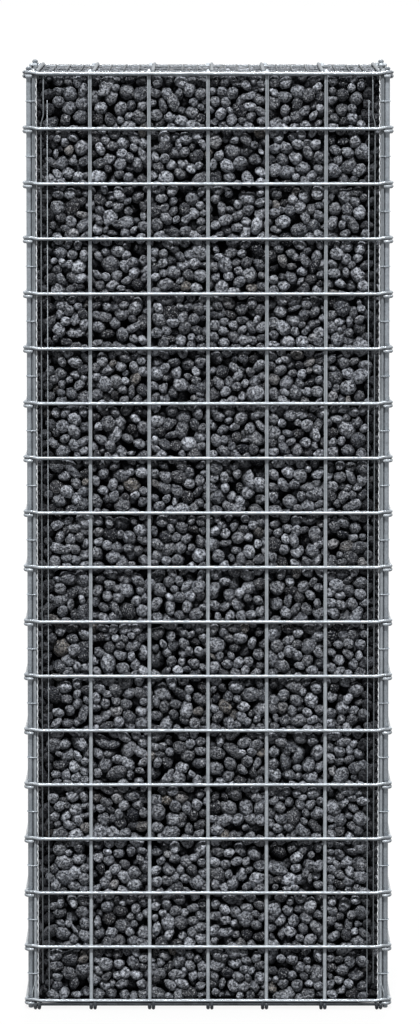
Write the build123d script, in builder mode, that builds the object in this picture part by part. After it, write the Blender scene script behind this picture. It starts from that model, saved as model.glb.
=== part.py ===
from build123d import *
import os

# Free-standing gabion wall: welded wire panels, plugged together with rods and filled with stone.
#
# The wall is six meshes wide, three deep and seventeen high. Every wire of a panel ends in an open
# eyelet. The eyelets of two neighbouring panels lie side by side on one rod, and that rod locks the
# edge. X runs along the wall, -Y is its front, and the origin is at the centre of its footprint.

# Mesh
columns = 6
rows = 17
bays_deep = 3
column_pitch = 100.0
row_pitch = 93.5
bay_pitch = 100.0
end_margin = 3.5

# Wires and rods
wire = 6.0
corner_rod = 9.0
edge_rod = 5.0
rod_sides = 10

# Fits
corner_play = 0.5
edge_play = 0.6
loop_gap = 0.3
wire_gap = 0.5
set_back = 0.5
head_rod_drop = 2.0

# Corner rod heads
head_diameter = 11.5
head_height = 5.0
head_chamfer = 2.0
rod_foot = 2.0

# Stone fill
lifts = 6
lid_clear = 0.7
cheek_clear = 2.75
fill_corner = 22.0
fill_crown = 9.0

# Bends: the corners of an eighth-turned square, as parts of its half width
eighth = 0.4142
ring = [(-eighth, -1), (-1, -eighth), (-1, eighth), (-eighth, 1)]
half_turn = 4
quarter_turn = 3

# Corner rods stand on the mesh corners
corner_reach = corner_rod / 2 + corner_play + wire / 2
edge_reach = edge_rod / 2 + edge_play + wire / 2
corner_x = columns * column_pitch / 2 + end_margin
corner_y = bays_deep * bay_pitch / 2

# Wires that cross lie on each other, face to face
front_wire_y = corner_y + corner_reach
front_upright_y = front_wire_y - wire
side_wire_x = corner_x + corner_reach
side_upright_x = side_wire_x - wire

# Edge rods: the front and back ones at the foot run outside the uprights, all others run inside
foot_rod_y = front_upright_y + edge_reach
head_rod_y = front_upright_y - edge_reach
side_rod_x = side_upright_x - edge_reach

# Heights, from the plane it stands on
base_deep_z = wire / 2
base_along_z = base_deep_z + wire
foot_rod_z = base_deep_z + edge_reach
side_foot_rod_z = base_along_z + edge_reach
first_row_z = foot_rod_z + edge_rod / 2 + wire_gap + wire / 2
last_row_z = first_row_z + rows * row_pitch
head_rod_z = last_row_z - head_rod_drop
lid_deep_z = head_rod_z + edge_reach
lid_along_z = lid_deep_z - wire
side_head_rod_z = lid_along_z - edge_reach
side_drop = wire + loop_gap

# Places of the uprights, and of the base and lid wires beside them
end_upright_x = corner_x - corner_reach
end_upright_y = corner_y - corner_rod / 2 - corner_play - wire - wire_gap - wire / 2
inner_x = [column_pitch * n for n in range(1 - columns // 2, columns // 2)]
inner_y = [bay_pitch * (n - (bays_deep - 2) / 2) for n in range(bays_deep - 1)]
upright_x = [-end_upright_x] + inner_x + [end_upright_x]
upright_y = [-end_upright_y] + inner_y + [end_upright_y]
beside = wire + wire_gap
deep_wire_x = [x + beside if x <= 0 else x - beside for x in upright_x]
along_wire_y = [y + beside if y <= 0 else y - beside for y in upright_y]
row_z = [first_row_z + row_pitch * n for n in range(rows + 1)]


def eyelet(place, end, side, rod, play, corners):
    """Corner points of a wire end bent round a rod, from the wire's -Y edge round to its +Y edge.

    The wire lies along X at Y = 0. Its end is +1 or -1, and the rod stands at X = place, on the
    side of the wire that side names.
    """
    inner = rod / 2 + play
    outer = inner + wire
    bend = ring[:corners]
    points = [(outer * u, outer * v) for u, v in bend]
    points += [(inner * u, inner * v) for u, v in reversed(bend)]
    placed = [(place - end * u, side * (v + inner + wire / 2)) for u, v in points]
    return placed if side > 0 else placed[::-1]


def bent_wire(plane, first, last):
    """Adds a wire along the plane's X axis, with an eyelet at each end."""
    with BuildSketch(plane) as outline:
        with BuildLine():
            Polyline(*first, *reversed(last), close=True)
        make_face()
    extrude(outline.sketch, amount=wire / 2, both=True)


def row_wires(inward, wire_place, rod_place, heights, corners):
    """Adds the level wires of a wall panel, each with an eyelet round both corner rods."""
    along = Vector(inward).cross(Vector(0, 0, 1))
    first = eyelet(-rod_place, -1, 1, corner_rod, corner_play, corners)
    last = eyelet(rod_place, 1, 1, corner_rod, corner_play, corners)
    for z in heights:
        origin = Vector(inward) * -wire_place + Vector(0, 0, z)
        bent_wire(Plane(origin=origin, x_dir=along, z_dir=(0, 0, 1)), first, last)


def uprights(inward, upright_place, places, foot, head):
    """Adds the upright wires of a wall panel, with an eyelet at the foot and at the head."""
    along = Vector(inward).cross(Vector(0, 0, 1))
    for place in places:
        origin = Vector(inward) * -upright_place + along * place
        bent_wire(Plane(origin=origin, x_dir=(0, 0, 1), z_dir=along * -1), foot, head)


def floor_wires(direction, places, z, rod_place, side, corners):
    """Adds level wires of the base or the lid, with the edge rods above or below them."""
    across = Vector(direction).cross(Vector(0, 0, 1))
    first = eyelet(-rod_place, -1, side, edge_rod, edge_play, corners)
    last = eyelet(rod_place, 1, side, edge_rod, edge_play, corners)
    for place in places:
        origin = (place if direction[1] else 0, place if direction[0] else 0, z)
        bent_wire(Plane(origin=origin, x_dir=direction, z_dir=across), first, last)


def plain_rod(plane, diameter, length):
    """Adds a straight rod along the plane's normal, centred on its origin."""
    with BuildSketch(plane) as section:
        RegularPolygon(radius=diameter / 2, side_count=rod_sides)
    extrude(section.sketch, amount=length / 2, both=True)


foot_outside = eyelet(foot_rod_z, -1, -1, edge_rod, edge_play, half_turn)
head_inside = eyelet(head_rod_z, 1, 1, edge_rod, edge_play, half_turn)
side_foot = eyelet(side_foot_rod_z, -1, 1, edge_rod, edge_play, quarter_turn)
side_head = eyelet(side_head_rod_z, 1, 1, edge_rod, edge_play, quarter_turn)
side_row_z = [z - side_drop for z in row_z]

# Wall panels
with BuildPart() as front_panel:
    row_wires((0, 1, 0), front_wire_y, corner_x, row_z, half_turn)
    uprights((0, 1, 0), front_upright_y, upright_x, foot_outside, head_inside)

with BuildPart() as back_panel:
    row_wires((0, -1, 0), front_wire_y, corner_x, row_z, half_turn)
    uprights((0, -1, 0), front_upright_y, upright_x, foot_outside, head_inside)

with BuildPart() as left_panel:
    row_wires((1, 0, 0), side_wire_x, corner_y, side_row_z, quarter_turn)
    uprights((1, 0, 0), side_upright_x, upright_y, side_foot, side_head)

with BuildPart() as right_panel:
    row_wires((-1, 0, 0), side_wire_x, corner_y, side_row_z, quarter_turn)
    uprights((-1, 0, 0), side_upright_x, upright_y, side_foot, side_head)

# Base and lid
with BuildPart() as base_panel:
    floor_wires((0, 1, 0), deep_wire_x, base_deep_z, foot_rod_y, 1, quarter_turn)
    floor_wires((1, 0, 0), along_wire_y, base_along_z, side_rod_x - set_back, 1, half_turn)

with BuildPart() as lid_panel:
    floor_wires((0, 1, 0), deep_wire_x, lid_deep_z, head_rod_y - set_back, -1, half_turn)
    floor_wires((1, 0, 0), along_wire_y, lid_along_z, side_rod_x - set_back, -1, half_turn)

panels = {
    "front_panel": front_panel,
    "back_panel": back_panel,
    "left_panel": left_panel,
    "right_panel": right_panel,
    "base_panel": base_panel,
    "lid_panel": lid_panel,
}
os.makedirs("parts", exist_ok=True)
for name, panel in panels.items():
    panel.part.label = name
    export_step(panel.part, f"parts/{name}.step")

# Corner rods, each hung by its upset head on the eyelet of the upright beside it
rod_top_z = lid_deep_z + wire / 2
for name, x, y in [
    ("corner_rod_front_left", -corner_x, -corner_y),
    ("corner_rod_front_right", corner_x, -corner_y),
    ("corner_rod_back_left", -corner_x, corner_y),
    ("corner_rod_back_right", corner_x, corner_y),
]:
    with BuildPart() as upright_rod:
        with BuildSketch(Plane((x, y, rod_foot))):
            RegularPolygon(radius=corner_rod / 2, side_count=rod_sides)
        extrude(amount=rod_top_z - rod_foot)
        with BuildSketch(Plane((x, y, rod_top_z))):
            RegularPolygon(radius=head_diameter / 2, side_count=rod_sides)
        extrude(amount=head_height)
        chamfer(upright_rod.edges().group_by(Axis.Z)[-1], length=head_chamfer)
    upright_rod.part.label = name
    export_step(upright_rod.part, f"parts/{name}.step")

# Edge rods: along the wall at the foot and the head, and across it at both ends
along_length = 2 * (corner_x - corner_rod / 2 - wire_gap * 2)
deep_length = 2 * (corner_y - corner_rod / 2 - wire_gap * 2)
rod_slack = set_back / 2
for name, x, y, z, along in [
    ("foot_rod_front", 0, -foot_rod_y, foot_rod_z, True),
    ("foot_rod_back", 0, foot_rod_y, foot_rod_z, True),
    ("head_rod_front", 0, rod_slack - head_rod_y, head_rod_z, True),
    ("head_rod_back", 0, head_rod_y - rod_slack, head_rod_z, True),
    ("foot_rod_left", rod_slack - side_rod_x, 0, side_foot_rod_z, False),
    ("foot_rod_right", side_rod_x - rod_slack, 0, side_foot_rod_z, False),
    ("head_rod_left", rod_slack - side_rod_x, 0, side_head_rod_z, False),
    ("head_rod_right", side_rod_x - rod_slack, 0, side_head_rod_z, False),
]:
    with BuildPart() as edge:
        if along:
            plain_rod(Plane(origin=(x, y, z), x_dir=(0, 1, 0), z_dir=(1, 0, 0)), edge_rod, along_length)
        else:
            plain_rod(Plane(origin=(x, y, z), x_dir=(1, 0, 0), z_dir=(0, 1, 0)), edge_rod, deep_length)
    edge.part.label = name
    export_step(edge.part, f"parts/{name}.step")

# Stone fill, poured in lifts on the base wires. It leaves the four upright corners empty, where the
# eyelets are, and its last lift is rounded off under the lid.
fill_x = 2 * (end_upright_x + wire / 2 - cheek_clear)
fill_y = 2 * (front_upright_y - wire / 2 - wire_gap)
fill_foot = base_along_z + wire / 2
fill_head = head_rod_z - edge_rod / 2 - lid_clear
lift_height = (fill_head - fill_foot) / lifts
for number in range(lifts):
    with BuildPart() as lift:
        with BuildSketch(Plane.XY.offset(fill_foot + number * lift_height)) as footprint:
            Rectangle(fill_x, fill_y)
            chamfer(footprint.vertices(), length=fill_corner)
        extrude(amount=lift_height)
        if number == lifts - 1:
            chamfer(lift.edges().group_by(Axis.Z)[-1], length=fill_crown)
    lift.part.label = f"stone_lift_{number + 1}"
    export_step(lift.part, f"parts/stone_lift_{number + 1}.step")
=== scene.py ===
"""Looks of a plug-in gabion wall: galvanised wire panels, rods, eyelets and the stone fill."""
import logging
import math
from dataclasses import dataclass, field
from enum import Enum
from functools import cached_property
from typing import Sequence

import bpy
import numpy as np
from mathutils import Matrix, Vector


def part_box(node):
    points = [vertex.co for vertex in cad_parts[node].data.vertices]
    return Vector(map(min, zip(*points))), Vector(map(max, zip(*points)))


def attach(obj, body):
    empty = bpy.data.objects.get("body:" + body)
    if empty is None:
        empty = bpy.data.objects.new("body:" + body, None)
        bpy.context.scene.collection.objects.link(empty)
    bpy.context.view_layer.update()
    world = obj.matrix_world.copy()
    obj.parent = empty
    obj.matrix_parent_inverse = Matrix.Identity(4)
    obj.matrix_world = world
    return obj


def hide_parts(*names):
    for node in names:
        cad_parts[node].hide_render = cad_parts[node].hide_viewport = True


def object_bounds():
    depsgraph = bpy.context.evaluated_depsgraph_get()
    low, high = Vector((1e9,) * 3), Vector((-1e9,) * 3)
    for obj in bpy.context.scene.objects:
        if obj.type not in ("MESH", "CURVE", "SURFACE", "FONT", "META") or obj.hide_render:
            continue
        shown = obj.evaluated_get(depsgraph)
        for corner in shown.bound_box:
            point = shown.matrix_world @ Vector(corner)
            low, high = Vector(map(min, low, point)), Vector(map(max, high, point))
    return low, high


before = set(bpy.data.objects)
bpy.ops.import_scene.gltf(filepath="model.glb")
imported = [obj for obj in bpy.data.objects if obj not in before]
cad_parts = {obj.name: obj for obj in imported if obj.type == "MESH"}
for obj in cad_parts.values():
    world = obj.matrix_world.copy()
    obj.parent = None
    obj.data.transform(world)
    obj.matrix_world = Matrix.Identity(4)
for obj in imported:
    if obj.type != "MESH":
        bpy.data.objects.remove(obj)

Array = np.ndarray
Colour = tuple[float, float, float]
Cloud = tuple[float, float, float]
Span = tuple[float, float]
Socket = bpy.types.NodeSocket

BODY = "root"
CAD_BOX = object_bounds()
ENDS = (-1, 1)
WHOLE = (0.0, 1.0)
FULL_TURN = 2.0 * math.pi
WORN_LENGTH = 0.3
WORN_WIDTH = 0.72
LOG = logging.getLogger("gabion")


# Surfaces


def unit(vectors: Array) -> Array:
    """Scales vectors to length one."""
    return vectors / np.linalg.norm(vectors, axis=-1, keepdims=True)


@dataclass
class Surface:
    """Points with the quads and triangles between them.

    Attributes:
        points: one row of x, y, z for each point, in metres.
        quads: rows of four point numbers.
        triangles: rows of three point numbers.
        tones: named values from 0 to 1, one for each point.
    """

    points: Array
    quads: Array = field(default_factory=lambda: np.zeros((0, 4), int))
    triangles: Array = field(default_factory=lambda: np.zeros((0, 3), int))
    tones: dict[str, Array] = field(default_factory=dict)

    def toned(self, name: str, value: float | Array) -> "Surface":
        """Gives the surface a tone, the same everywhere or one value for each point."""
        self.tones[name] = np.broadcast_to(value, len(self.points))
        return self

    def copies(self, bases: Array, origins: Array) -> "Surface":
        """Sets one copy of the surface in each of several frames.

        Args:
            bases: for each copy, the three directions that its own x, y and z take.
            origins: for each copy, the place of its own origin.

        Returns:
            All the copies as one surface, without tones.
        """
        points = np.einsum("pi,nij->npj", self.points, bases) + origins[:, None, :]
        shift = (np.arange(len(origins)) * len(self.points))[:, None, None]
        return Surface(points.reshape(-1, 3), (self.quads + shift).reshape(-1, 4),
                       (self.triangles + shift).reshape(-1, 3))

    @staticmethod
    def joined(parts: Sequence["Surface"]) -> "Surface":
        """Joins surfaces that have the same tones into one, with their points numbered on.

        Args:
            parts: the surfaces.

        Returns:
            The one surface, with those tones.
        """
        starts = np.cumsum([0] + [len(part.points) for part in parts[:-1]])
        return Surface(
            np.concatenate([part.points for part in parts]),
            np.concatenate([part.quads + start for part, start in zip(parts, starts)]),
            np.concatenate([part.triangles + start for part, start in zip(parts, starts)]),
            {name: np.concatenate([part.tones[name] for part in parts])
             for name in parts[0].tones})

    def piece(self, name: str, material: bpy.types.Material, slot: str) -> bpy.types.Object:
        """Makes a Blender object of the surface, smooth shaded, riding on the wall.

        Args:
            name: the piece's name.
            material: its finish.
            slot: the record's material slot that the finish belongs to; not used.

        Returns:
            The new object, with its place in its mesh.
        """
        mesh = bpy.data.meshes.new(name)
        mesh.vertices.add(len(self.points))
        mesh.vertices.foreach_set("co", self.points.astype(np.float32).ravel())
        corners = np.concatenate([self.quads.ravel(), self.triangles.ravel()])
        sizes = np.concatenate([np.full(len(self.quads), 4), np.full(len(self.triangles), 3)])
        mesh.loops.add(len(corners))
        mesh.loops.foreach_set("vertex_index", corners.astype(np.int32))
        mesh.polygons.add(len(sizes))
        mesh.polygons.foreach_set("loop_start", (np.cumsum(sizes) - sizes).astype(np.int32))
        mesh.polygons.foreach_set("use_smooth", np.ones(len(sizes), bool))
        for tone, values in self.tones.items():
            layer = mesh.attributes.new(tone, "FLOAT", "POINT")
            layer.data.foreach_set("value", values.astype(np.float32))
        mesh.update(calc_edges=True)
        mesh.materials.append(material)
        piece = bpy.data.objects.new(name, mesh)
        bpy.context.scene.collection.objects.link(piece)
        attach(piece, BODY)
        LOG.info("%s: %d points, %d faces", name, len(self.points), len(sizes))
        return piece


# Materials


class Pair(Enum):
    """How two values become one."""

    PRODUCT = "MULTIPLY"
    LARGER = "MAXIMUM"


class NodeBoard:
    """The nodes of a material or of the world, with short calls for the common ones."""

    def __init__(self, owner: bpy.types.Material | bpy.types.World) -> None:
        """Opens the owner's nodes."""
        owner.use_nodes = True
        self.owner = owner
        self.tree = owner.node_tree

    @property
    def shader(self) -> bpy.types.Node:
        """The material's Principled shader."""
        return self.tree.nodes["Principled BSDF"]

    @cached_property
    def place(self) -> Socket:
        """The Object coordinates."""
        return self.add("ShaderNodeTexCoord").outputs["Object"]

    def feed(self, node: bpy.types.Node, inputs: dict[str | int, object]) -> None:
        """Links sockets to a node's inputs, or sets the inputs to plain values.

        Args:
            node: the node.
            inputs: a socket or a plain value for each input, by name or number.
        """
        for key, value in inputs.items():
            if isinstance(value, Socket):
                self.tree.links.new(value, node.inputs[key])
            else:
                node.inputs[key].default_value = value

    def add(self, kind: str, inputs: dict[str | int, object] | None = None,
            **settings: object) -> bpy.types.Node:
        """Adds a node, sets its properties and feeds its inputs.

        Args:
            kind: the node's type.
            inputs: what its inputs get, if anything.
            settings: its properties.

        Returns:
            The node.
        """
        node = self.tree.nodes.new(kind)
        for key, value in settings.items():
            setattr(node, key, value)
        self.feed(node, inputs or {})
        return node

    def noise(self, size: float, detail: float = 3.0, roughness: float = 0.5) -> Socket:
        """Adds cloudy noise on Object coordinates.

        Args:
            size: width of one cloud in metres.
            detail: number of finer layers.
            roughness: strength of the finer layers.

        Returns:
            The noise's value, mostly from 0.3 to 0.7.
        """
        return self.add("ShaderNodeTexNoise", {
            "Vector": self.place, "Scale": 1.0 / size, "Detail": detail,
            "Roughness": roughness}).outputs["Fac"]

    def cells(self, size: float) -> Socket:
        """Adds rounded cells on Object coordinates and gives the distance to their middles."""
        inputs = {"Vector": self.place, "Scale": 1.0 / size}
        return self.add("ShaderNodeTexVoronoi", inputs).outputs["Distance"]

    def spread(self, value: Socket, source: Span, target: Span = WHOLE) -> Socket:
        """Maps one range of values to another, clamped at both ends."""
        return self.add("ShaderNodeMapRange", {
            "Value": value, "From Min": source[0], "From Max": source[1],
            "To Min": target[0], "To Max": target[1]}).outputs["Result"]

    def blend(self, amount: Socket, first: Colour | Socket, second: Colour | Socket) -> Socket:
        """Mixes two colours, each given as red, green and blue or as a socket.

        Args:
            amount: share of the second.
            first: the first colour.
            second: the second colour.

        Returns:
            The mixed colour.
        """
        first, second = (end if isinstance(end, Socket) else (*end, 1.0)
                         for end in (first, second))
        inputs = {0: amount, 6: first, 7: second}
        return self.add("ShaderNodeMix", inputs, data_type="RGBA").outputs[2]

    def tone(self, name: str) -> Socket:
        """Reads one of the surface's own tones."""
        return self.add("ShaderNodeAttribute", attribute_name=name).outputs["Fac"]

    def paired(self, way: Pair, first: Socket, second: Socket) -> Socket:
        """Makes one value of two."""
        inputs = {0: first, 1: second}
        return self.add("ShaderNodeMath", inputs, operation=way.value).outputs[0]

    def bump(self, height: Socket, depth: float, below: Socket | None = None) -> Socket:
        """Adds relief of a depth in metres, on top of other relief if there is any.

        Args:
            height: the pattern, from 0 to 1.
            depth: its depth.
            below: the other relief.

        Returns:
            The surface's direction with the relief.
        """
        inputs = {"Height": height, "Distance": depth}
        if below is not None:
            inputs["Normal"] = below
        return self.add("ShaderNodeBump", inputs).outputs["Normal"]


@dataclass(frozen=True)
class GalvanisedFinish:
    """Zinc on drawn steel: soft grey-blue clouds, faint crystals and a satin sheen.

    Attributes:
        dark: colour of the darker clouds.
        light: colour of the lighter clouds.
        roughness: that of the darker and of the lighter clouds.
        limb: tint of the shine along the edges.
        darkened_colour: colour that the tone darkened mixes in: duller zinc on the upset heads and
            one thin stay, painted shade on the wall panels' eyelets, wire undersides, inner head
            sides and foot, and plainly darker wire on the end uprights and on some lid and base
            wires.
        cloud: width of a cloud, and its range in the noise.
        crystal: width of a crystal, and its range in the cells.
        crystal_gain: how much lighter a crystal is than the lighter clouds.
        crystal_share: how strongly the crystals show.
        relief: depth of the crystals.
    """

    name: str
    dark: Colour
    light: Colour
    roughness: Span
    metallic: float = 0.12
    specular: float = 0.25
    limb: Colour = (0.25, 0.26, 0.28)
    darkened_colour: Colour = (0.035, 0.039, 0.044)
    cloud: float = 0.018
    cloud_range: Span = (0.35, 0.65)
    crystal: float = 0.004
    crystal_range: Span = (0.1, 0.7)
    crystal_gain: float = 1.25
    crystal_share: float = 0.35
    relief: float = 0.00015

    def make(self) -> bpy.types.Material:
        """Builds the finish as a material."""
        board = NodeBoard(bpy.data.materials.new(self.name))
        clouds = board.spread(board.noise(self.cloud), self.cloud_range)
        crystals = board.spread(board.cells(self.crystal), self.crystal_range)
        colour = board.blend(clouds, self.dark, self.light)
        paler = tuple(min(1.0, value * self.crystal_gain) for value in self.light)
        amount = board.spread(crystals, WHOLE, (0.0, self.crystal_share))
        colour = board.blend(amount, colour, paler)
        # This mix is duller zinc on some parts and painted shade on others, as each part sets its
        # tone.
        colour = board.blend(board.tone("darkened"), colour, self.darkened_colour)
        board.feed(board.shader, {
            "Base Color": colour, "Roughness": board.spread(clouds, WHOLE, self.roughness),
            "Normal": board.bump(crystals, self.relief), "Metallic": self.metallic,
            "Specular IOR Level": self.specular, "Specular Tint": (*self.limb, 1.0)})
        return board.owner


@dataclass(frozen=True)
class StoneFinish:
    """Dark basalt and lava pebbles: charcoal with paler and browner stones, pores and specks.

    Attributes:
        black: colour of the darkest stones, of the mottling and of the pores.
        grey: colour of the palest stones, by the tone pale.
        brown: colour of the brownest stones, by the tone warm.
        speck: colour of the specks.
        painted_shade: colour of the stones in painted shade, by the tone of that name.
        grain: width, layers and roughness of the grain, and so for mottle.
        grain_range: the grain's range for the specks, and so for mottle and pore.
        speck_share: how strongly the specks show, and so for mottle; pore_shade_share: how strongly
            the painted shade in the pores shows.
        grain_relief: depth of the grain, and so for pore and lump.
        pore_shade_range: range of the pores' own tone that is darkened, painted shade in their
            hollows.
        roughness: that of the low and of the high grain.
        rough_range: the grain's range for the roughness.
    """

    name: str = "dark_pebbles"
    black: Colour = (0.019, 0.021, 0.027)
    grey: Colour = (0.62, 0.66, 0.74)
    brown: Colour = (0.25, 0.225, 0.195)
    speck: Colour = (0.80, 0.82, 0.85)
    painted_shade: Colour = (0.006, 0.0065, 0.008)
    grain: Cloud = (0.0028, 4.0, 0.65)
    grain_range: Span = (0.54, 0.68)
    grain_relief: float = 0.0022
    speck_share: float = 0.6
    mottle: Cloud = (0.0051, 3.0, 0.6)
    mottle_range: Span = (0.40, 0.59)
    mottle_share: float = 0.87
    pore: float = 0.0042
    pore_range: Span = (0.12, 0.42)
    pore_shade_range: Span = (0.0, 0.5)
    pore_shade_share: float = 0.55
    pore_relief: float = 0.0022
    lump: Cloud = (0.0085, 2.0, 0.5)
    lump_relief: float = 0.010
    roughness: Span = (0.5, 0.75)
    rough_range: Span = (0.3, 0.7)
    specular: float = 0.03

    def make(self) -> bpy.types.Material:
        """Builds the finish as a material."""
        board = NodeBoard(bpy.data.materials.new(self.name))
        grain = board.noise(*self.grain)
        pores = board.spread(board.cells(self.pore), self.pore_range)
        mottle = board.spread(board.noise(*self.mottle), self.mottle_range,
                              (0.0, self.mottle_share))
        specks = board.spread(grain, self.grain_range, (0.0, self.speck_share))
        # Painted shade in the pores: their hollow middles are darkened.
        deep = board.spread(pores, self.pore_shade_range, (self.pore_shade_share, 0.0))
        colour = self.black
        # The last tone mixed in below is painted shade.
        for amount, other in (
                (board.tone("pale"), self.grey), (board.tone("warm"), self.brown),
                (mottle, self.black), (specks, self.speck), (deep, self.black),
                (board.tone("painted_shade"), self.painted_shade)):
            colour = board.blend(amount, colour, other)
        relief = board.bump(board.noise(*self.lump), self.lump_relief)
        relief = board.bump(pores, self.pore_relief, relief)
        relief = board.bump(grain, self.grain_relief, relief)
        board.feed(board.shader, {
            "Base Color": colour, "Normal": relief, "Specular IOR Level": self.specular,
            "Roughness": board.spread(grain, self.rough_range, self.roughness)})
        return board.owner


@dataclass(frozen=True)
class CoreFinish:
    """The unlit inside of the fill, almost black, with the hint of more stones."""

    name: str = "inner_fill"
    dark: Colour = (0.0015, 0.0015, 0.002)
    light: Colour = (0.005, 0.005, 0.0055)
    stone: float = 0.02
    stone_range: Span = (0.2, 0.7)
    roughness: float = 0.9

    def make(self) -> bpy.types.Material:
        """Builds the finish as a material."""
        board = NodeBoard(bpy.data.materials.new(self.name))
        stones = board.spread(board.cells(self.stone), self.stone_range)
        board.feed(board.shader, {
            "Base Color": board.blend(stones, self.light, self.dark),
            "Roughness": self.roughness, "Specular IOR Level": 0.0})
        return board.owner


# Wires


class Turn(Enum):
    """How far a wire's end is bent round its rod."""

    OPEN = math.radians(122.0)
    CLOSED = math.radians(198.0)


@dataclass(frozen=True)
class Eyelet:
    """A wire end bent round a rod.

    Attributes:
        place: where the rod stands along the wire.
        end: -1 or 1, the end of the wire.
        side: -1 or 1, the side of the wire that the rod is on.
        reach: distance from the wire's middle to the rod's.
        turn: how far the wire goes round.
    """

    place: float
    end: int
    side: int
    reach: float
    turn: Turn

    def path(self, steps: int = 14) -> tuple[Array, Array]:
        """Follows the bend from the straight wire to the tip.

        A point at angle a lies at place + end * reach * sin a along the wire, and at
        side * reach * (1 - cos a) across it.

        Args:
            steps: number of points.

        Returns:
            The points and their directions, along and across the wire.
        """
        angle = np.linspace(0.0, self.turn.value, steps)
        points = np.stack([self.place + self.end * self.reach * np.sin(angle),
                           self.side * self.reach * (1.0 - np.cos(angle))], axis=1)
        heading = np.stack([self.end * np.cos(angle), self.side * np.sin(angle)], axis=1)
        return points, heading


def ring_quads(rings: int, sides: int, closed: bool = False) -> Array:
    """Joins each ring of points to the next with quads.

    Args:
        rings: number of rings.
        sides: number of points in a ring.
        closed: whether the last ring is also joined to the first.

    Returns:
        The quads.
    """
    step = np.arange(rings if closed else rings - 1)[:, None] * sides
    after_step = (step + sides) % (rings * sides)
    spoke = np.arange(sides)[None, :]
    after = (spoke + 1) % sides
    return np.stack([step + spoke, step + after, after_step + after, after_step + spoke],
                    axis=-1).reshape(-1, 4)


def tube(points: Array, headings: Array, radius: float, sides: int = 10,
         rise: Array | None = None, closed: bool = False) -> Surface:
    """Carries a circle along a path and closes both ends with a worn edge.

    A surface point is path + radius * (cos t * across + sin t * upright), where across is the
    heading turned a quarter in the plane of the path. The worn edge is a last ring of WORN_WIDTH
    of the radius, WORN_LENGTH of it beyond the path.

    Args:
        points: the path, as x and y in its own plane.
        headings: the direction of the path at each point.
        radius: the wire's radius.
        sides: number of points in the circle.
        rise: height of each path point over its plane, or none for a flat path.
        closed: whether the path is a ring, which has no ends.

    Returns:
        The closed tube.
    """
    height = np.zeros(len(points)) if rise is None else rise
    radii = np.full(len(points) + (0 if closed else 2), radius)
    if not closed:
        tip = headings[[0, -1]] * radius * WORN_LENGTH
        points = np.concatenate([points[:1] - tip[:1], points, points[-1:] + tip[1:]])
        headings = np.concatenate([headings[:1], headings, headings[-1:]])
        height = np.concatenate([height[:1], height, height[-1:]])
        radii[[0, -1]] *= WORN_WIDTH
    turn = (np.arange(sides) * FULL_TURN / sides)[None, :, None]
    across = np.stack([-headings[:, 1], headings[:, 0], np.zeros(len(points))], axis=1)
    middle = np.concatenate([points, height[:, None]], axis=1)
    circle = across[:, None] * np.cos(turn) + np.array([0.0, 0.0, 1.0]) * np.sin(turn)
    rings = (middle[:, None] + circle * radii[:, None, None]).reshape(-1, 3)
    quads = ring_quads(len(points), sides, closed)
    if closed:
        return Surface(rings, quads)
    return Surface(np.concatenate([rings, middle[[0, -1]]]), quads, end_caps(len(rings), sides))


def end_caps(count: int, sides: int) -> Array:
    """Closes the first and last rings of a tube with fans round two more points.

    Args:
        count: number of points in all the rings, and so the number of the first fan's middle.
        sides: number of points in a ring.

    Returns:
        The triangles.
    """
    near, far = np.arange(sides), np.arange(sides) + count - sides
    return np.concatenate([np.stack([np.full(sides, count), np.roll(near, -1), near], axis=1),
                           np.stack([np.full(sides, count + 1), far, np.roll(far, -1)], axis=1)])


def bent_wire(first: Eyelet, last: Eyelet, radius: float, lift: float = 0.0) -> Surface:
    """Makes one wire along x, with an eyelet at each end.

    Args:
        first: the eyelet at the low end.
        last: the eyelet at the high end.
        radius: the wire's radius.
        lift: how far the eyelets stand over the straight of the wire.

    Returns:
        The wire as a closed tube.
    """
    ramp_places, ramp_rise = (0.017, 0.013, 0.008, 0.004), np.array([0.0, 0.2, 0.8, 1.0])
    halves = []
    for eyelet in (first, last):
        bend, heading = eyelet.path()
        ramp = np.array([[eyelet.place - eyelet.end * back, 0.0] for back in ramp_places])
        facing = np.tile([float(eyelet.end), 0.0], (len(ramp), 1))
        rise = np.concatenate([ramp_rise * lift, np.full(len(bend), lift)])
        halves.append((np.concatenate([ramp, bend]), np.concatenate([facing, heading]), rise))
    (start, start_heading, start_rise), (end, end_heading, end_rise) = halves
    return tube(np.concatenate([start[::-1], end]),
                np.concatenate([-start_heading[::-1], end_heading]),
                radius, rise=np.concatenate([start_rise[::-1], end_rise]))


def straight_wire(length: float, radius: float, sides: int = 10) -> Surface:
    """Makes one straight wire or rod along x, with its middle at the origin."""
    points = np.array([[-length / 2, 0.0], [length / 2, 0.0]])
    return tube(points, np.array([[1.0, 0.0], [1.0, 0.0]]), radius, sides)


def basis(along: Sequence[float], across: Sequence[float]) -> Array:
    """Gives the three directions of a right-handed frame from its first two."""
    first, second = np.array(along, float), np.array(across, float)
    return np.stack([first, second, np.cross(first, second)])


def repeated(surface: Surface, frame_axes: Array, origins: Sequence[Sequence[float]]) -> Surface:
    """Sets copies of a surface at several places, all turned the same way."""
    places = np.array(origins, float)
    return surface.copies(np.repeat(frame_axes[None], len(places), axis=0), places)


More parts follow.
